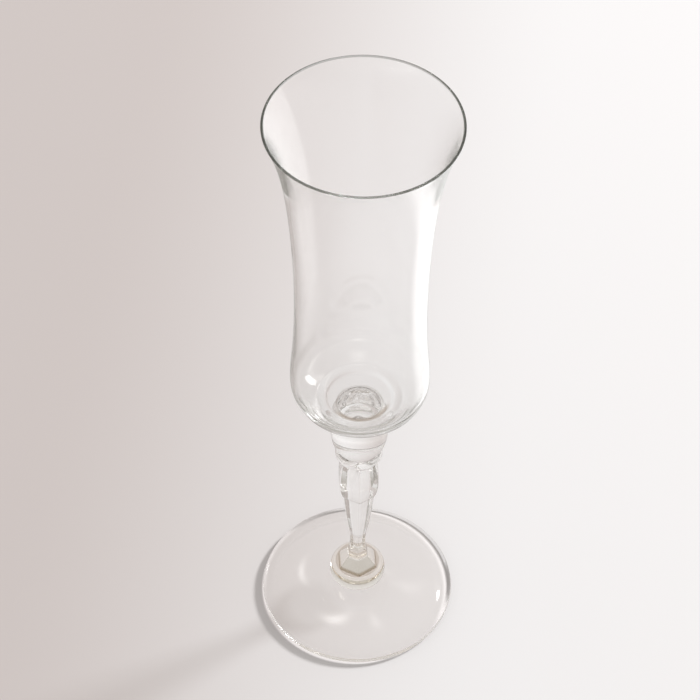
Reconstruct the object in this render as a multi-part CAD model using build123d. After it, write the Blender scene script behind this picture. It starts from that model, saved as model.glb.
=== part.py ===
from build123d import *
import math
import os

# A champagne flute: a tulip bowl with a flared lip, a knop, a collar, a six-sided pressed stem,
# a round button and a plain disc foot, all of clear glass fused end to end.
#
# Millimetres. +Z is up along the axis of the glass. The origin is where that axis meets the
# table, and an arris of the stem faces -Y. Each piece is a solid of its own, and neighbours meet
# face to face at their fused joints. Outlines are drawn as (distance from the axis, height), and
# a station is a point of an outline with the direction that the line takes through it.

# ---- driving dimensions ---------------------------------------------------------------------
foot_radius = 32.0
total_height = 217.0
lip_radius = 28.35
bulge_radius = 21.5
waist_radius = 19.9
wall_thickness = 1.0
facet_count = 6

# ---- heights of the fused joints, from the table up -----------------------------------------
foot_top = 10.0
button_top = 14.8
stem_top = 72.0
collar_top = 76.0
knop_top = 96.0

# ---- foot: a rounded edge, a cone on top, a hollow beneath and the ring it rests on ----------
edge_thickness = 2.8
edge_round = edge_thickness / 2
rest_ring_outer = foot_radius - edge_round
rest_ring_inner = rest_ring_outer - 2.2
hollow_depth = 4.2

# ---- button: its flat underside and its widest ring -----------------------------------------
button_radius = 9.2
button_land_radius = button_radius - 0.1
button_widest = foot_top + 0.6

# ---- stem: distance from the axis to an arris at each height that shapes it ------------------
flare_radius = 7.3
neck_bottom = 19.3
neck_bottom_radius = 3.75
neck_top = 32.5
neck_top_radius = 3.2
taper_top = 53.0
taper_top_radius = 5.8
shoulder_height = 61.0
shoulder_radius = 7.3
stem_top_radius = 5.9
arris_rounding = 0.03

# ---- collar and knop ------------------------------------------------------------------------
collar_radius = 7.6
collar_height = (stem_top + collar_top) / 2 - 0.3
collar_joint_radius = 6.7
knop_radius = 9.1
knop_height = 85.0
knop_joint_radius = 6.8

# ---- bowl: heights and radii of the outside, then the lip and the heavy floor -----------------
floor_edge_radius = 14.3
floor_edge_height = knop_top + 3.0
bulge_height = knop_top + 14.8
body_radius = 20.5
body_height = 126.0
waist_height = 147.0
tulip_radius = 21.8
tulip_height = total_height - 30.0
lip_thickness = 0.8
floor_thickness = 4.4
well_radius = 9.6
well_rim_radius = 10.4
well_depth = 0.9
inner_floor_edge_radius = floor_edge_radius - 1.0
inner_floor_edge_height = floor_edge_height + 3.2

facet_angle = 360 / facet_count
facet_share = math.cos(math.radians(facet_angle / 2))
stem_reach = 2 * max(flare_radius, shoulder_radius)
straight_up = (0, 1)


def flowing(*stations):
    """A smooth line through stations of (point, direction), as a list of edges."""
    return [
        Spline(start, end, tangents=[leaving, arriving])
        for (start, leaving), (end, arriving) in zip(stations, stations[1:])
    ]


def turned(*edges):
    """A solid of revolution about the axis of the glass, from the edges that close an outline."""
    return revolve(Plane.XZ * make_face(edges), Axis.Z, 360)


def turned_side(side):
    """A solid of revolution with flat ends, from its side line, which runs upwards."""
    side_bottom = side[0] @ 0
    side_top = side[-1] @ 1
    axis_bottom = (0, side_bottom.Y)
    axis_top = (0, side_top.Y)
    underside = Line(axis_bottom, side_bottom)
    upper = Line(side_top, axis_top)
    return turned(underside, *side, upper, Line(axis_top, axis_bottom))


def make_foot():
    """A disc with a rounded edge, a low cone on top and a shallow hollow beneath."""
    edge_top = (rest_ring_outer, edge_thickness)
    land = (button_land_radius, foot_top)
    edge = ThreePointArc((rest_ring_outer, 0), (foot_radius, edge_round), edge_top)
    slope = flowing((edge_top, (-1, 0.15)), (land, (-1, 0.5)))
    hollow = flowing(((0, hollow_depth), (1, 0)), ((rest_ring_inner, 0), (1, -0.4)))
    rest_ring = Line((rest_ring_inner, 0), (rest_ring_outer, 0))
    top = Line(land, (0, foot_top))
    axis = Line((0, foot_top), (0, hollow_depth))
    return turned(*hollow, rest_ring, edge, *slope, top, axis)


def make_button():
    """The round button that the stem stands on, domed above its widest ring."""
    side = flowing(
        ((button_land_radius, foot_top), (0.3, 1)),
        ((button_radius, button_widest), straight_up),
        ((flare_radius, button_top), (-1, 0.25)),
    )
    return turned_side(side)


def stem_side(share):
    """The stem's side line from bottom to top. A share of 1 follows the arrises, and the cosine
    of half a facet's angle follows the middle of a facet."""
    neck_start = (neck_bottom_radius * share, neck_bottom)
    neck_end = (neck_top_radius * share, neck_top)
    flare = flowing(
        ((flare_radius * share, button_top), (-0.6, 1)),
        (neck_start, (-0.9, 1)),
    )
    taper = flowing(
        (neck_end, (0.17, 1)),
        ((taper_top_radius * share, taper_top), (0.08, 1)),
    )
    shoulder = flowing(
        ((taper_top_radius * share, taper_top), (0.6, 1)),
        ((shoulder_radius * share, shoulder_height), straight_up),
        ((stem_top_radius * share, stem_top), (-0.25, 1)),
    )
    return [*flare, Line(neck_start, neck_end), *taper, *shoulder]


def stem_slab():
    """A slab with two opposite facets of the stem as its sides."""
    right = stem_side(facet_share)
    left = [mirror(edge, Plane.YZ) for edge in right]
    half_bottom = flare_radius * facet_share
    half_top = stem_top_radius * facet_share
    bottom = Line((-half_bottom, button_top), (half_bottom, button_top))
    top = Line((half_top, stem_top), (-half_top, stem_top))
    face = make_face([bottom, *right, top, *left])
    return extrude(Plane.XZ * face, stem_reach, both=True)


def make_stem():
    """Six facets that flare at the button, narrow to a neck and swell to a shoulder. Every pair of
    opposite facets is one slab, and a round blank dulls the arrises as fire-polishing does."""
    slab = stem_slab()
    stem = slab
    for turn in range(1, facet_count // 2):
        stem = stem & (Rot(0, 0, turn * facet_angle) * slab)
    return stem & turned_side(stem_side(1 - arris_rounding))


def make_collar():
    """A thin ring with a round edge between the stem and the knop."""
    side = flowing(
        ((collar_joint_radius, stem_top), (1, 0.6)),
        ((collar_radius, collar_height), straight_up),
        ((collar_joint_radius, collar_top), (-1, 0.5)),
    )
    return turned_side(side)


def make_knop():
    """A solid knop, widest above its middle and necked at both ends."""
    side = flowing(
        ((collar_joint_radius, collar_top), (0.75, 1)),
        ((knop_radius, knop_height), straight_up),
        ((knop_joint_radius, knop_top), (-0.5, 1)),
    )
    return turned_side(side)


def make_bowl():
    """A tulip bowl: a heavy floor with a flat well, a low bulge, a waist and a flared lip."""
    floor_height = knop_top + floor_thickness
    lip_round = lip_thickness / 2
    lip_outer = (lip_radius, total_height - lip_round)
    lip_crest = (lip_radius - lip_round, total_height)
    lip_inner = (lip_radius - lip_thickness, total_height - lip_round)
    outside = flowing(
        ((knop_joint_radius, knop_top), (1, 0.1)),
        ((floor_edge_radius, floor_edge_height), (1, 1)),
        ((bulge_radius, bulge_height), straight_up),
        ((body_radius, body_height), (-0.055, 1)),
        ((waist_radius, waist_height), straight_up),
        ((tulip_radius, tulip_height), (0.1, 1)),
        (lip_outer, (0.42, 1)),
    )
    inside = flowing(
        ((0, floor_height), (1, 0)),
        ((well_radius, floor_height), (1, 0.05)),
        ((well_rim_radius, floor_height + well_depth), (0.4, 1)),
        ((inner_floor_edge_radius, inner_floor_edge_height), (1, 0.85)),
        ((bulge_radius - wall_thickness, bulge_height), straight_up),
        ((body_radius - wall_thickness, body_height), (-0.055, 1)),
        ((waist_radius - wall_thickness, waist_height), straight_up),
        ((tulip_radius - wall_thickness, tulip_height), (0.1, 1)),
        (lip_inner, (0.42, 1)),
    )
    lip = ThreePointArc(lip_outer, lip_crest, lip_inner)
    joint = Line((0, knop_top), (knop_joint_radius, knop_top))
    axis = Line((0, floor_height), (0, knop_top))
    return turned(joint, *outside, lip, *inside, axis)


pieces = {
    "foot": make_foot(),
    "button": make_button(),
    "stem": make_stem(),
    "collar": make_collar(),
    "knop": make_knop(),
    "bowl": make_bowl(),
}

os.makedirs("parts", exist_ok=True)
for name, piece in pieces.items():
    export_step(piece, f"parts/{name}.step")
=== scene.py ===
import math

import bpy
import numpy as np
from mathutils import Matrix, Vector


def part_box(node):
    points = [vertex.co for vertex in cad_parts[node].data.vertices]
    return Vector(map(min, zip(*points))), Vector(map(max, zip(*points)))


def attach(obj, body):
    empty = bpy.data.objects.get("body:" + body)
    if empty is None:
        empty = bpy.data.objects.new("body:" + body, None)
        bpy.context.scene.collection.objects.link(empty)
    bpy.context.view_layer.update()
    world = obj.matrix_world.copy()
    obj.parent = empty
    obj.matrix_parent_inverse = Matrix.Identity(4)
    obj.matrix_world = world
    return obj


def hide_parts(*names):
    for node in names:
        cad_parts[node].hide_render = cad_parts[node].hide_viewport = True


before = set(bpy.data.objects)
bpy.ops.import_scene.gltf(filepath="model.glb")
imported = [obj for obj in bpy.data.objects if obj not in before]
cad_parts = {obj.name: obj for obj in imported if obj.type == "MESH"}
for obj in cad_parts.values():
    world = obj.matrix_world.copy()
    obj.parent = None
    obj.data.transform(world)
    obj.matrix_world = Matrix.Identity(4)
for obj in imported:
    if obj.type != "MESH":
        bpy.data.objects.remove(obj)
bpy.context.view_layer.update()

# A clear champagne flute on a pale floor. Every glass piece is skinned afresh from the outline of its CAD
# node: rings of points round the axis, close enough together for glass to bend light smoothly.
# Metres throughout. +Z is up along the axis of the glass, and -Y is its front.

MM = 0.001
TINY = 1e-6

# ---- how finely the glass is skinned ----------------------------------------------------------------
RING_POINTS = 360
SAMPLE_STEP = 0.1 * MM
POLISH = 0.16 * MM
POLISH_REACH = 3
MAX_ROW = 2.2 * MM
MAX_TURN = math.radians(3.0)
CORNER_TURN = math.radians(7.0)
CORNER_CONTRAST = 2.0

# ---- the six-sided stem -------------------------------------------------------------------------------
FACETS = 6
ARRIS_TRIM = 0.97
ARRIS_SHARPNESS = 60

# ---- sizes taken from the frame -------------------------------------------------------------------------
foot_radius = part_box("foot")[1].x
stem_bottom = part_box("stem")[0].z
bowl_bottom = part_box("bowl")[0].z
glass_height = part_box("bowl")[1].z

# ---- glass: a tint is what is left of light each time it meets the surface ------------------------------
GLASS_IOR = 1.52
RIPPLE_STRETCH = (1, 1, 0.35)
SHARP_BLEND = 0.1 * MM

BOWL_CLEAR = (0.9998, 0.9999, 0.9998)
BOWL_GREY = (0.984, 0.985, 0.984)
# Painted shade: the bowl darkens to this colour where the camera sees it at a slant.
BOWL_PAINTED_OUTLINE = (0.66, 0.67, 0.66)
BOWL_OUTLINE_SHARPNESS = 5.0
BOWL_SHADE = (0.97, 0.97, 0.965)
BOWL_EDGE_SHADE = (0.62, 0.61, 0.59)
BOWL_RIPPLE = 0.12 * MM
BULGE_RISE = 24 * MM
GREY_FADE = 25 * MM
# Painted shade: a dark line round the lip, where the rim would show dark surroundings.
LIP_PAINTED_SHADE = (0.60, 0.61, 0.60)
LIP_ROUNDING = 0.4 * MM
# Painted shade: a thin dark ring in the bowl's floor where the knop is fused on, as refraction shows it.
JOINT_RING_PAINTED_SHADE = (0.70, 0.68, 0.65)
JOINT_RING_RADIUS = 7.2 * MM
JOINT_RING_HALF = 0.4 * MM
JOINT_RING_HEIGHTS = (0.0 * MM, 1.0 * MM)
JOINT_RING_FRONT = -1.0
# Painted shade: a dark crescent at the front of the well in the bowl's floor.
WELL_PAINTED_SHADE = (0.60, 0.53, 0.46)
WELL_RING_RADIUS = 9.0 * MM
WELL_RING_HALF = 1.3 * MM
WELL_RING_HEIGHTS = (4.0 * MM, 6.0 * MM)
WELL_RING_FRONT = 0.5
FRONT = Vector((0.1, -1, 0))
FRONT_BLEND = 0.2

STEM_CLEAR = (0.997, 0.996, 0.993)
STEM_WARM = (0.972, 0.95, 0.91)
# Painted shade: a dark line at the flare's sharp corner, at the bottom of the stem.
CORNER_PAINTED_SHADE = (0.62, 0.54, 0.45)
CORNER_BLEND = 0.02 * MM
CORNER_LINE = 0.5 * MM
CORNER_FADE = 1.3 * MM
WARM_RISE = 5 * MM
CLEAR_RISE = 12 * MM
# Painted shade: the stem darkens to this colour wherever a ray meets it at a slant.
STEM_PAINTED_OUTLINE = (0.72, 0.71, 0.70)
STEM_OUTLINE_SHARPNESS = 3.0
STEM_SHADE = (0.80, 0.785, 0.775)
STEM_EDGE_SHADE = (0.35, 0.33, 0.32)
STEM_SHADE_RISE = 6 * MM
STEM_RIPPLE = 0.06 * MM
FINE_RIPPLES = 70.0

FOOT_CLEAR = (0.997, 0.996, 0.995)
FOOT_SHADE = (0.965, 0.955, 0.95)
FOOT_RIPPLE = 0.3 * MM
BROAD_RIPPLES = 42.0
EDGE_THICKNESS = 2.8 * MM

SLANT_SHARPNESS = 3.0
SHADE_BLEND = 2 * MM

# ---- the key light ------------------------------------------------------------------------------------
KEY_AZIMUTH = 117
KEY_ELEVATION = 31
KEY_DISTANCE = 3.0
KEY_ACROSS = 0.52
KEY_WATTS = 72
KEY_COLOUR = (1.0, 0.99, 1.0)

# How much of the key's light the rounded edge of the foot lets through, by height as a share of the edge's
# thickness, on the side towards the key and on the far side. Of the light from elsewhere it lets EDGE_FILL
# through. KEY_SPREAD: light is from elsewhere beyond the first angle from the key's middle (in degrees), and
# it is the key's within the second.
NEAR_EDGE = ((0.40, 0.12), (0.46, 1.7), (0.62, 1.7), (0.72, 1.0))
FAR_EDGE = ((0.04, 1.5), (0.12, 1.5), (0.22, 0.10))
SIDE_BLEND = 0.3
EDGE_FILL = 0.8
KEY_SPREAD = (25, 15)

# ---- the room and the floor ---------------------------------------------------------------------------
HORIZON = (0.80, 0.785, 0.775)
ZENITH = (0.52, 0.50, 0.49)
ZENITH_IN_GLASS = (0.56, 0.53, 0.49)
CEILING_RISE = (0.05, 0.6)
WINDOW_COLOUR = (1.0, 0.99, 0.97)
WINDOW_REFLECTIONS = 12

FLOOR_HALF = 40.0
FLOOR_DROP = 0.02 * MM
# Painted light: the floor runs from shaded pinkish on the left to lit white on the right.
FLOOR_SHADED_LEFT = (0.67, 0.62, 0.60)
FLOOR_LIT_RIGHT = (0.92, 0.92, 0.92)
FLOOR_ACROSS = (1, -0.2, 0)
FLOOR_CHANGE = (-0.13, 0.06)
HAZE = (0.5, 3.0)
# Painted light: a glow in the floor behind the glass and to its right, seen only in reflections.
POOL_RIGHT = (0.02, 0.13)
POOL_BEHIND = (-0.02, 0.03)
POOL_BRIGHTNESS = 0.8

# Soft windows that only glass shows: azimuth, elevation, half width, half height, how far the width is
# turned up from level (all in degrees), and brightness. The first group shows only in the outside of
# the glass.
OUTSIDE_WINDOWS = (
    (268, 76, 7.0, 2.2, 45, 5.5),
    (217, 38, 8.0, 1.3, 39, 3.5),
    (122, 45, 6.0, 4.0, 0, 1.2),
    (80, 78, 4.0, 2.5, 0, 1.8),
)
WINDOWS = (
    (92, 31, 14.0, 4.0, 0, 4.0),
    (KEY_AZIMUTH, 30, 6.0, 4.0, 0, 1.5),
    (0, 33, 10.0, 6.0, 0, 2.5),
)

# ---- the camera: distances in radii of the foot, angles in degrees --------------------------------------
CAMERA_AZIMUTH = -4.6
CAMERA_OUT = 15.012
CAMERA_UP = 21.128
CAMERA_PITCH = 49.05
CAMERA_YAW = -0.374
CAMERA_ROLL = 0.522
CAMERA_LENS = 124.26
CAMERA_SENSOR = 36.0

BOUNCES = 500


# ==== outlines =======================================================================================
def cad_outline(node_name):
    """The outline of a turned CAD node as (radius, height) rows, walked from one end to the other along
    the mesh edges that lie in the half plane y = 0, x > 0. Every such point is on the true surface."""
    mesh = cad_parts[node_name].data
    points = np.array([v.co for v in mesh.vertices]).round(7)
    on_plane = (np.abs(points[:, 1]) < TINY) & (points[:, 0] > -TINY)
    neighbours = {}
    for edge in mesh.edges:
        a, b = edge.vertices
        if on_plane[a] and on_plane[b]:
            pa = (points[a][0], points[a][2])
            pb = (points[b][0], points[b][2])
            if pa != pb:
                neighbours.setdefault(pa, set()).add(pb)
                neighbours.setdefault(pb, set()).add(pa)
    ends = [p for p, near in neighbours.items() if len(near) == 1]
    here = min(ends, key=lambda p: (p[1], p[0]))
    walk = [here]
    while True:
        onward = neighbours[here] - set(walk[-2:])
        if not onward:
            return np.array(walk, float)
        here = onward.pop()
        walk.append(here)


def turns(points):
    """The angle that a polyline turns through at each of its inner points."""
    steps = np.diff(points, axis=0)
    heading = np.unwrap(np.arctan2(steps[:, 1], steps[:, 0]))
    return np.abs(np.diff(heading))


def smooth_runs(points):
    """The polyline cut at its corners, which turn much more than the points on either side of them."""
    bend = np.concatenate([[0, 0], turns(points), [0, 0]])
    cuts = [0]
    for i in range(1, len(points) - 1):
        around = max(bend[i], bend[i + 2])
        if bend[i + 1] > CORNER_TURN and bend[i + 1] > CORNER_CONTRAST * around:
            cuts.append(i)
    cuts.append(len(points) - 1)
    return [points[a : b + 1] for a, b in zip(cuts, cuts[1:])]


def densified(points):
    """Points at SAMPLE_STEP along a smooth cubic through the given ones."""
    along = np.concatenate([[0], np.cumsum(np.linalg.norm(np.diff(points, axis=0), axis=1))])
    if len(points) > 2:
        slopes = np.gradient(points, along, axis=0, edge_order=2)
    else:
        slopes = np.repeat((points[1:] - points[:1]) / along[-1], 2, axis=0)
    count = max(2, int(along[-1] / SAMPLE_STEP))
    where = np.linspace(0, along[-1], count + 1)
    cell = np.clip(np.searchsorted(along, where, side="right") - 1, 0, len(points) - 2)
    width = (along[cell + 1] - along[cell])[:, None]
    t = ((where - along[cell])[:, None]) / width
    start = points[cell] * (1 + 2 * t) * (1 - t) ** 2 + slopes[cell] * width * t * (1 - t) ** 2
    end = points[cell + 1] * t**2 * (3 - 2 * t) + slopes[cell + 1] * width * t**2 * (t - 1)
    return start + end


def polished(points):
    """Corners rounded as a flame leaves them: a running average with fixed ends."""
    reach = POLISH_REACH
    offsets = np.arange(-reach, reach + 1)
    weights = np.exp(-0.5 * (offsets * SAMPLE_STEP / POLISH) ** 2)
    weights /= weights.sum()
    before = 2 * points[0] - points[reach:0:-1]
    after = 2 * points[-1] - points[-2 : -reach - 2 : -1]
    padded = np.concatenate([before, points, after])
    return sum(w * padded[reach + k : reach + k + len(points)] for k, w in zip(offsets, weights))


def rows_for(node_name):
    """The outline of a node as the rows that its skin needs: closer together where it curves."""
    runs = [densified(run) for run in smooth_runs(cad_outline(node_name))]
    dense = np.concatenate([runs[0]] + [run[1:] for run in runs[1:]])
    dense = polished(dense)
    steps = np.linalg.norm(np.diff(dense, axis=0), axis=1)
    bend = np.concatenate([[0], turns(dense), [0]])
    rows = [dense[0]]
    walked, turned = 0.0, 0.0
    for i in range(1, len(dense) - 1):
        walked += steps[i - 1]
        turned += bend[i]
        if walked > MAX_ROW or turned > MAX_TURN:
            rows.append(dense[i])
            walked, turned = 0.0, 0.0
    rows.append(dense[-1])
    low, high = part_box(node_name)
    return np.clip(rows, (0, low.z), (high.x, high.z))


# ==== skins ===========================================================================================
angles = np.arange(RING_POINTS) * 2 * math.pi / RING_POINTS


def round_ring(radius, height):
    """A ring of points at a height. The radius is a number, or one number for each point."""
    return np.stack([radius * np.cos(angles), radius * np.sin(angles), np.full(RING_POINTS, height)], axis=1)


def faceted_ring(apothem, height):
    """A ring with flat sides that face +X and every sixth of a turn, and dulled arrises."""
    half = math.pi / FACETS
    off_middle = np.mod(angles + half, 2 * half) - half
    flat = np.cos(off_middle) / apothem
    blank = math.cos(half) / (apothem * ARRIS_TRIM)
    reach = (flat**ARRIS_SHARPNESS + blank**ARRIS_SHARPNESS) ** (-1 / ARRIS_SHARPNESS)
    return round_ring(reach, height)


def rings_of(node_name, ring=round_ring):
    """The rings of a node's skin, from one end of its outline to the other."""
    return [ring(radius, height) for radius, height in rows_for(node_name)]


def off_axis(rings):
    """Rings without the ones that have shrunk to a point on the axis."""
    return [r for r in rings if np.hypot(r[0][0], r[0][1]) > TINY]


def skin(name, rings, joints):
    """A closed mesh through the rings, closed by a fan at each end. joints holds the numbers of the bands
    that are fused to a neighbour: band 0 is the fan at the start, and band k runs up to ring k."""
    vertices = np.concatenate([rings[0].mean(axis=0)[None], *rings, rings[-1].mean(axis=0)[None]])
    first, last = 0, len(vertices) - 1
    here = np.arange(RING_POINTS)
    sides = list(zip(here, np.roll(here, -1)))
    faces = [(first, 1 + b, 1 + a) for a, b in sides]
    for k in range(len(rings) - 1):
        low = 1 + k * RING_POINTS
        high = low + RING_POINTS
        faces += [(low + a, low + b, high + b, high + a) for a, b in sides]
    top = last - RING_POINTS
    faces += [(top + a, top + b, last) for a, b in sides]
    mesh = bpy.data.meshes.new(name)
    mesh.from_pydata(vertices.tolist(), [], faces)
    mesh.validate()
    bands = np.repeat(np.arange(len(rings) + 1), RING_POINTS)
    mesh.polygons.foreach_set("material_index", np.isin(bands, sorted(joints)).astype(np.int32))
    mesh.polygons.foreach_set("use_smooth", np.ones(len(faces), bool))
    mesh.update()
    piece = bpy.data.objects.new(name, mesh)
    bpy.context.scene.collection.objects.link(piece)
    return piece


def sharpen_joints(mesh):
    """The edges round a fused face are sharp, so that its flatness doesn't bend the glass beside it."""
    fused = {}
    for polygon in mesh.polygons:
        for key in polygon.edge_keys:
            fused.setdefault(key, set()).add(polygon.material_index)
    sharp = mesh.attributes.new("sharp_edge", "BOOLEAN", "EDGE")
    sharp.data.foreach_set("value", [len(fused[edge.key]) > 1 for edge in mesh.edges])


def glass_piece(node_name, rings, joints, glass, joint):
    """The skin that stands for a CAD node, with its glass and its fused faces."""
    piece = skin("glass_" + node_name, rings, joints)
    sharpen_joints(piece.data)
    piece.data.materials.append(glass)
    piece.data.materials.append(joint)
    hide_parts(node_name)
    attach(piece, "root")


# ==== shader nodes ====================================================================================
def towards(azimuth, elevation):
    """A direction away from the glass. Azimuth 0 is in front of it (-Y) and 90 is to its right (+X)."""
    a, e = math.radians(azimuth), math.radians(elevation)
    return Vector((math.sin(a) * math.cos(e), -math.cos(a) * math.cos(e), math.sin(e)))


def node(tree, kind, **settings):
    """A new node, with its inputs or its own settings given by name."""
    made = tree.nodes.new(kind)
    for key, value in settings.items():
        if key in made.inputs:
            made.inputs[key].default_value = value
        else:
            setattr(made, key, value)
    return made


def plugged(tree, value, socket):
    """Gives an input socket a value, which is a number, a colour or the output socket of a node."""
    if isinstance(value, bpy.types.NodeSocket):
        tree.links.new(value, socket)
    elif isinstance(value, tuple):
        socket.default_value = (*value, 1)
    else:
        socket.default_value = value


def math_node(tree, operation, *values):
    """The result of a Math node."""
    made = node(tree, "ShaderNodeMath", operation=operation)
    for socket, value in zip(made.inputs, values):
        plugged(tree, value, socket)
    return made.outputs[0]


def product(tree, first, *others):
    """All the values multiplied together."""
    total = first
    for value in others:
        total = math_node(tree, "MULTIPLY", total, value)
    return total


def ramped(tree, value, low, high, at_low=0.0, at_high=1.0):
    """A smooth step of value, from at_low where it is low to at_high where it is high."""
    made = node(tree, "ShaderNodeMapRange", interpolation_type="SMOOTHSTEP")
    for name, number in (("From Min", low), ("From Max", high), ("To Min", at_low), ("To Max", at_high)):
        made.inputs[name].default_value = number
    tree.links.new(value, made.inputs["Value"])
    return made.outputs["Result"]


def stepped(tree, value, stops):
    """A number that runs smoothly through stops of (value, level) as value rises."""
    (before, level), *later = stops
    total = level
    for here, next_level in later:
        total = math_node(tree, "ADD", total, ramped(tree, value, before, here, 0.0, next_level - level))
        before, level = here, next_level
    return total


def blend(tree, amount, at_0, at_1):
    """A mix of two colours."""
    made = node(tree, "ShaderNodeMixRGB")
    plugged(tree, amount, made.inputs["Fac"])
    plugged(tree, at_0, made.inputs["Color1"])
    plugged(tree, at_1, made.inputs["Color2"])
    return made.outputs["Color"]


def blend_numbers(tree, amount, at_0, at_1):
    """A mix of two numbers."""
    first = product(tree, math_node(tree, "SUBTRACT", 1.0, amount), at_0)
    return math_node(tree, "MULTIPLY_ADD", amount, at_1, first)


def blend_shaders(tree, amount, at_0, at_1):
    """A mix of two shaders."""
    made = node(tree, "ShaderNodeMixShader")
    for socket, value in zip(made.inputs, (amount, at_0, at_1)):
        plugged(tree, value, socket)
    return made.outputs[0]


def added_shaders(tree, first, second):
    """The light of two shaders together."""
    made = node(tree, "ShaderNodeAddShader")
    plugged(tree, first, made.inputs[0])
    plugged(tree, second, made.inputs[1])
    return made.outputs[0]


def vector_node(tree, operation, output, vector, fixed=(0, 0, 0)):
    """A result of a Vector Math node that works on a vector socket and a fixed vector."""
    made = node(tree, "ShaderNodeVectorMath", operation=operation)
    tree.links.new(vector, made.inputs[0])
    made.inputs[1].default_value = fixed
    return made.outputs[output]


def dot(tree, vector, direction):
    """How far a vector socket reaches along a fixed direction."""
    return vector_node(tree, "DOT_PRODUCT", "Value", vector, direction)


def length(tree, vector):
    """How long a vector socket is."""
    return vector_node(tree, "LENGTH", "Value", vector)


def point(tree):
    """Where the shaded point is."""
    return node(tree, "ShaderNodeNewGeometry").outputs["Position"]


def point_height(tree):
    """How high above the table the shaded point is."""
    split = node(tree, "ShaderNodeSeparateXYZ")
    tree.links.new(point(tree), split.inputs[0])
    return split.outputs["Z"]


def flat_point(tree):
    """Where the shaded point is, seen from above: its position without its height."""
    return vector_node(tree, "MULTIPLY", "Vector", point(tree), (1, 1, 0))


def point_radius(tree):
    """How far the shaded point is from the axis of the glass."""
    return length(tree, flat_point(tree))


def slant(tree, sharpness):
    """0 where the surface faces the ray, rising to 1 where the ray only grazes it."""
    facing = node(tree, "ShaderNodeLayerWeight", Blend=0.5)
    return math_node(tree, "POWER", facing.outputs["Facing"], sharpness)


def ray(tree, output):
    """What kind of ray is being traced, or how deep it is."""
    return node(tree, "ShaderNodeLightPath").outputs[output]


def seen_in_glass(tree):
    """1 for a ray that glass has just bent or reflected, 0 for one that works out how a surface is lit."""
    return math_node(tree, "MAXIMUM", ray(tree, "Is Glossy Ray"), ray(tree, "Is Transmission Ray"))


def reflected(tree, most):
    """1 for a ray that glass has reflected, up to so many times, on its way from the camera, else 0."""
    some = math_node(tree, "GREATER_THAN", ray(tree, "Glossy Depth"), 0.5)
    few = math_node(tree, "LESS_THAN", ray(tree, "Glossy Depth"), most + 0.5)
    return product(tree, some, few, seen_in_glass(tree))


# ==== tints and shades: each is a function that adds its nodes to a tree and returns a colour socket =======
def plain_tint(colour):
    """The same tint everywhere."""

    def socket(tree):
        made = node(tree, "ShaderNodeRGB")
        made.outputs[0].default_value = (*colour, 1)
        return made.outputs[0]

    return socket


def graded_tint(*stops):
    """A tint that runs through stops of (height, colour) from the table up."""

    def socket(tree):
        (before, colour), *later = stops
        for here, next_colour in later:
            colour = blend(tree, ramped(tree, point_height(tree), before, here), colour, next_colour)
            before = here
        return colour

    return socket


def painted_outline_tint(tint, edge, sharpness, inside_too):
    """A tint that turns to painted shade where light meets the glass at a slant, as edges that show dark
    surroundings would: wherever it does so, or only where the camera looks at the glass directly."""

    def socket(tree):
        amount = slant(tree, sharpness)
        if not inside_too:
            amount = product(tree, amount, ray(tree, "Is Camera Ray"))
        return blend(tree, amount, tint(tree), edge)

    return socket


def painted_ring_tint(tint, colour, ring_radius, half_width, heights, front):
    """The bowl's tint with a ring of painted shade in it, at a radius and between two heights above its
    bottom. The ring fades where its share of the way to the front, from -1 to 1, falls towards front."""

    def socket(tree):
        bottom, top = [bowl_bottom + rise for rise in heights]
        off_ring = math_node(tree, "ABSOLUTE", math_node(tree, "SUBTRACT", point_radius(tree), ring_radius))
        near = ramped(tree, off_ring, 0.0, half_width, 1.0, 0.0)
        above = ramped(tree, point_height(tree), bottom - SHARP_BLEND, bottom)
        below = ramped(tree, point_height(tree), top, top + SHARP_BLEND, 1.0, 0.0)
        to_front = dot(tree, flat_point(tree), FRONT / ring_radius)
        shown = ramped(tree, to_front, front - FRONT_BLEND, front + FRONT_BLEND)
        return blend(tree, product(tree, near, above, below, shown), tint(tree), colour)

    return socket


def slanted_shade(middle, edge, foot_of_shade=0.0):
    """Light is shaded more where it crosses the glass at a slant, and less below a height."""

    def socket(tree):
        unshaded_to, shaded_from = foot_of_shade - SHADE_BLEND, foot_of_shade + SHADE_BLEND
        low = ramped(tree, point_height(tree), unshaded_to, shaded_from, 1.0, 0.0)
        return blend(tree, low, blend(tree, slant(tree, SLANT_SHARPNESS), middle, edge), middle)

    return socket


def disc_shade(colour, rounding_start):
    """The rounded edge of a disc is a lens: its middle turns the light away, and on the side of the light
    its upper half gathers light inside the shadow, as its foot does on the far side."""

    def socket(tree):
        share = math_node(tree, "DIVIDE", point_height(tree), EDGE_THICKNESS)
        on_edge = ramped(tree, point_radius(tree), rounding_start - SHARP_BLEND, rounding_start + SHARP_BLEND)
        towards_key = dot(tree, flat_point(tree), towards(KEY_AZIMUTH, 0) / foot_radius)
        lit_side = ramped(tree, towards_key, -SIDE_BLEND, SIDE_BLEND)
        far_side = stepped(tree, share, FAR_EDGE)
        near_side = stepped(tree, share, NEAR_EDGE)
        strength = blend_numbers(tree, lit_side, far_side, near_side)
        backwards = node(tree, "ShaderNodeNewGeometry").outputs["Incoming"]
        heading = dot(tree, backwards, -towards(KEY_AZIMUTH, KEY_ELEVATION))
        spread_out, spread_in = [math.cos(math.radians(angle)) for angle in KEY_SPREAD]
        from_key = ramped(tree, heading, spread_out, spread_in)
        strength = blend_numbers(tree, from_key, EDGE_FILL, strength)
        strength = blend_numbers(tree, on_edge, 1.0, strength)
        scaled = node(tree, "ShaderNodeVectorMath", operation="SCALE")
        scaled.inputs[0].default_value = colour
        tree.links.new(strength, scaled.inputs["Scale"])
        return scaled.outputs[0]

    return socket


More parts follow.
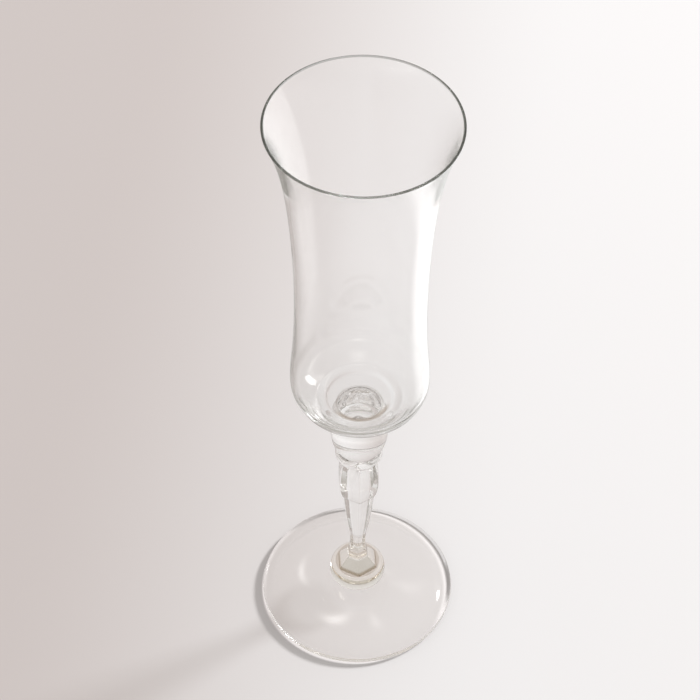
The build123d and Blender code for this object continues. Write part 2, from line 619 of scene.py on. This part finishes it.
# ==== glass =============================================================================================
def new_tree(name):
    """A new material and its empty node tree."""
    material = bpy.data.materials.new(name)
    material.use_nodes = True
    material.node_tree.nodes.clear()
    return material, material.node_tree


def finish_tree(tree, kind, shader):
    """Links a shader to a new output node."""
    tree.links.new(shader, node(tree, kind).inputs["Surface"])


def rippled(tree, depth, ripples):
    """The normal of a surface with faint waves in it, longer up and down than across."""
    stretch = node(tree, "ShaderNodeMapping", Scale=RIPPLE_STRETCH)
    noise = node(tree, "ShaderNodeTexNoise", Scale=ripples, Detail=1.0, Roughness=0.4)
    bump = node(tree, "ShaderNodeBump", Strength=1.0, Distance=depth)
    tree.links.new(node(tree, "ShaderNodeTexCoord").outputs["Object"], stretch.inputs["Vector"])
    tree.links.new(stretch.outputs["Vector"], noise.inputs["Vector"])
    tree.links.new(noise.outputs["Fac"], bump.inputs["Height"])
    return bump.outputs["Normal"]


def clear_glass(name, tint, shade, ripple, ripples):
    """Clear glass. Light that only lights the table passes straight through it, shaded by the colour of
    the shade, which gives the soft shadow of real glass without speckles."""
    material, tree = new_tree(name)
    glass = node(tree, "ShaderNodeBsdfGlass", Roughness=0.0, IOR=GLASS_IOR)
    clear = node(tree, "ShaderNodeBsdfTransparent")
    tree.links.new(rippled(tree, ripple, ripples), glass.inputs["Normal"])
    tree.links.new(tint(tree), glass.inputs["Color"])
    tree.links.new(shade(tree), clear.inputs["Color"])
    lights_the_table = math_node(tree, "MAXIMUM", ray(tree, "Is Shadow Ray"), ray(tree, "Is Diffuse Ray"))
    shader = blend_shaders(tree, lights_the_table, glass.outputs[0], clear.outputs[0])
    finish_tree(tree, "ShaderNodeOutputMaterial", shader)
    return material


def fused_joint():
    """Where two pieces are fused there is no surface for light to meet."""
    material, tree = new_tree("fused_joint")
    clear = node(tree, "ShaderNodeBsdfTransparent")
    finish_tree(tree, "ShaderNodeOutputMaterial", clear.outputs[0])
    return material


def bowl_glass():
    """Colourless above and a little grey below, with painted shade: a dark line round the lip, a thin dark
    ring where the knop is fused on, a dark crescent at the front of the well in its floor, and dark outlines."""
    bulge = bowl_bottom + BULGE_RISE
    lip = glass_height - LIP_ROUNDING
    joint_ring = (JOINT_RING_RADIUS, JOINT_RING_HALF, JOINT_RING_HEIGHTS, JOINT_RING_FRONT)
    well_ring = (WELL_RING_RADIUS, WELL_RING_HALF, WELL_RING_HEIGHTS, WELL_RING_FRONT)
    tint = graded_tint(
        (bulge, BOWL_GREY),
        (bulge + GREY_FADE, BOWL_CLEAR),
        (lip - SHARP_BLEND, BOWL_CLEAR),
        (lip + SHARP_BLEND, LIP_PAINTED_SHADE),
    )
    tint = painted_ring_tint(tint, JOINT_RING_PAINTED_SHADE, *joint_ring)
    tint = painted_ring_tint(tint, WELL_PAINTED_SHADE, *well_ring)
    tint = painted_outline_tint(tint, BOWL_PAINTED_OUTLINE, BOWL_OUTLINE_SHARPNESS, inside_too=False)
    shade = slanted_shade(BOWL_SHADE, BOWL_EDGE_SHADE)
    return clear_glass("bowl_glass", tint, shade, BOWL_RIPPLE, FINE_RIPPLES)


def stem_glass():
    """Warm at the bottom of the stem, where the flare's sharp corner is a line of painted shade, and clear
    above, with painted shade in its outlines.
    """
    tint = graded_tint(
        (stem_bottom - CORNER_BLEND, STEM_WARM),
        (stem_bottom + CORNER_BLEND, CORNER_PAINTED_SHADE),
        (stem_bottom + CORNER_LINE, CORNER_PAINTED_SHADE),
        (stem_bottom + CORNER_FADE, STEM_WARM),
        (stem_bottom + WARM_RISE, STEM_WARM),
        (stem_bottom + CLEAR_RISE, STEM_CLEAR),
    )
    tint = painted_outline_tint(tint, STEM_PAINTED_OUTLINE, STEM_OUTLINE_SHARPNESS, inside_too=True)
    shade = slanted_shade(STEM_SHADE, STEM_EDGE_SHADE, stem_bottom + STEM_SHADE_RISE)
    return clear_glass("stem_glass", tint, shade, STEM_RIPPLE, FINE_RIPPLES)


def foot_glass():
    """Clear, with broad shallow waves."""
    shade = disc_shade(FOOT_SHADE, foot_radius - EDGE_THICKNESS / 2)
    return clear_glass("foot_glass", plain_tint(FOOT_CLEAR), shade, FOOT_RIPPLE, BROAD_RIPPLES)


# ==== the flute =======================================================================================
def build_flute():
    """Six pieces from the table up. A round piece that is fused to the stem shares the stem's last ring."""
    foot = off_axis(rings_of("foot"))
    stem = rings_of("stem", faceted_ring)
    bowl = off_axis(rings_of("bowl"))
    middle = {
        "button": rings_of("button") + [stem[0]],
        "stem": stem,
        "collar": [stem[-1]] + rings_of("collar"),
        "knop": rings_of("knop"),
    }
    joint = fused_joint()
    glass_piece("foot", foot, {len(foot)}, foot_glass(), joint)
    clear = stem_glass()
    for name, rings in middle.items():
        glass_piece(name, rings, {0, len(rings)}, clear, joint)
    glass_piece("bowl", bowl, {0}, bowl_glass(), joint)


# ==== stage ===========================================================================================
def pool_shader(tree):
    """A glow painted into the floor behind the glass and to its right: painted light that shows only
    as a reflection.
    """
    right = ramped(tree, dot(tree, point(tree), (1, 0, 0)), *POOL_RIGHT)
    behind = ramped(tree, dot(tree, point(tree), (0, 1, 0)), *POOL_BEHIND)
    pool = node(tree, "ShaderNodeEmission", Color=(1, 1, 1, 1))
    strength = product(tree, right, behind, reflected(tree, 1), POOL_BRIGHTNESS)
    tree.links.new(strength, pool.inputs["Strength"])
    return pool.outputs[0]


def floor_material():
    """Pale, with painted light: shaded pinkish on the left and lit white on the right, a glow painted into it
    that only reflections show, and lost in haze far from the glass.
    """
    material, tree = new_tree("pale_floor")
    surface = node(tree, "ShaderNodeBsdfDiffuse")
    across = ramped(tree, dot(tree, point(tree), FLOOR_ACROSS), *FLOOR_CHANGE)
    tree.links.new(blend(tree, across, FLOOR_SHADED_LEFT, FLOOR_LIT_RIGHT), surface.inputs["Color"])
    lit = added_shaders(tree, surface.outputs[0], pool_shader(tree))
    haze = node(tree, "ShaderNodeEmission", Color=(*HORIZON, 1), Strength=1.0)
    far = ramped(tree, length(tree, point(tree)), *HAZE)
    finish_tree(tree, "ShaderNodeOutputMaterial", blend_shaders(tree, far, lit, haze.outputs[0]))
    return material


def build_floor():
    """A square floor a hair below the table's height, so that it never touches the foot."""
    size = FLOOR_HALF
    mesh = bpy.data.meshes.new("floor")
    corners = [(-size, -size, 0), (size, -size, 0), (size, size, 0), (-size, size, 0)]
    mesh.from_pydata(corners, [], [(0, 1, 2, 3)])
    mesh.materials.append(floor_material())
    floor = bpy.data.objects.new("floor", mesh)
    floor.location.z = -FLOOR_DROP
    bpy.context.scene.collection.objects.link(floor)


def build_key_light():
    """A round soft light that faces the glass. The camera and reflections don't see it."""
    away = towards(KEY_AZIMUTH, KEY_ELEVATION)
    lamp = bpy.data.lights.new("key", "AREA")
    lamp.shape = "DISK"
    lamp.size = KEY_ACROSS
    lamp.energy = KEY_WATTS
    lamp.color = KEY_COLOUR
    light = bpy.data.objects.new("key", lamp)
    light.location = away * KEY_DISTANCE
    light.rotation_mode = "QUATERNION"
    light.rotation_quaternion = (-away).to_track_quat("-Z", "Y")
    light.visible_camera = False
    light.visible_glossy = False
    bpy.context.scene.collection.objects.link(light)


def window_glow(tree, direction, azimuth, elevation, half_width, half_height, tilt, brightness):
    """One elliptical window of the room, brightest in its middle."""
    centre = towards(azimuth, elevation)
    side = towards(azimuth + 90, 0)
    up = centre.cross(side)
    tilt = math.radians(tilt)
    wide = side * math.cos(tilt) + up * math.sin(tilt)
    tall = up * math.cos(tilt) - side * math.sin(tilt)
    x = math_node(tree, "DIVIDE", dot(tree, direction, wide), math.sin(math.radians(half_width)))
    y = math_node(tree, "DIVIDE", dot(tree, direction, tall), math.sin(math.radians(half_height)))
    square = math_node(tree, "ADD", product(tree, x, x), product(tree, y, y))
    in_front = math_node(tree, "GREATER_THAN", dot(tree, direction, centre), 0.0)
    return product(tree, math_node(tree, "POWER", 0.5, square), in_front, brightness)


def windows_glow(tree, direction, windows):
    """The brightness of several windows together."""
    glow = 0.0
    for window in windows:
        glow = math_node(tree, "ADD", glow, window_glow(tree, direction, *window))
    return glow


def build_world():
    """A pale room, darker overhead, with soft windows in it that are seen only in and through the glass."""
    world = bpy.data.worlds.new("studio")
    bpy.context.scene.world = world
    world.use_nodes = True
    tree = world.node_tree
    tree.nodes.clear()
    direction = node(tree, "ShaderNodeTexCoord").outputs["Generated"]
    overhead = blend(tree, seen_in_glass(tree), ZENITH, ZENITH_IN_GLASS)
    rise = ramped(tree, dot(tree, direction, (0, 0, 1)), *CEILING_RISE)
    room = node(tree, "ShaderNodeBackground", Strength=1.0)
    tree.links.new(blend(tree, rise, HORIZON, overhead), room.inputs["Color"])

    off_the_outside = math_node(tree, "LESS_THAN", ray(tree, "Transmission Depth"), 0.5)
    outside = product(tree, windows_glow(tree, direction, OUTSIDE_WINDOWS), off_the_outside)
    glow = math_node(tree, "ADD", outside, windows_glow(tree, direction, WINDOWS))
    windows = node(tree, "ShaderNodeBackground", Color=(*WINDOW_COLOUR, 1))
    strength = product(tree, glow, reflected(tree, WINDOW_REFLECTIONS))
    tree.links.new(strength, windows.inputs["Strength"])
    finish_tree(tree, "ShaderNodeOutputWorld", added_shaders(tree, room.outputs[0], windows.outputs[0]))


def build_camera():
    """The camera looks down on the glass from in front, a little to the left of the arris that faces -Y."""
    turn = Matrix.Rotation(math.radians(CAMERA_AZIMUTH), 3, "Z")
    pitch, yaw, roll = [math.radians(angle) for angle in (CAMERA_PITCH, CAMERA_YAW, CAMERA_ROLL)]
    ahead = Vector((math.sin(yaw) * math.cos(pitch), math.cos(yaw) * math.cos(pitch), -math.sin(pitch)))
    look = turn @ ahead
    right = look.cross(Vector((0, 0, 1))).normalized()
    up = right.cross(look)
    right_rolled = math.cos(roll) * right + math.sin(roll) * up
    up_rolled = -math.sin(roll) * right + math.cos(roll) * up
    axes = Matrix((right_rolled, up_rolled, -look)).transposed()
    stands_at = turn @ (Vector((0, -CAMERA_OUT, CAMERA_UP)) * foot_radius)
    lens = bpy.data.cameras.new("camera")
    lens.lens = CAMERA_LENS
    lens.sensor_width = CAMERA_SENSOR
    camera = bpy.data.objects.new("camera", lens)
    camera.matrix_world = Matrix.Translation(stands_at) @ axes.to_4x4()
    bpy.context.scene.collection.objects.link(camera)
    bpy.context.scene.camera = camera


def set_light_paths():
    """Light is followed for a long way inside the glass, which would otherwise look dirty at its rims."""
    cycles = bpy.context.scene.cycles
    cycles.max_bounces = BOUNCES
    cycles.transmission_bounces = BOUNCES
    cycles.glossy_bounces = BOUNCES
    cycles.transparent_max_bounces = BOUNCES
    cycles.use_denoising = True
    bpy.context.scene.view_settings.view_transform = "Standard"


build_flute()
build_floor()
build_world()
build_key_light()
build_camera()
set_light_paths()
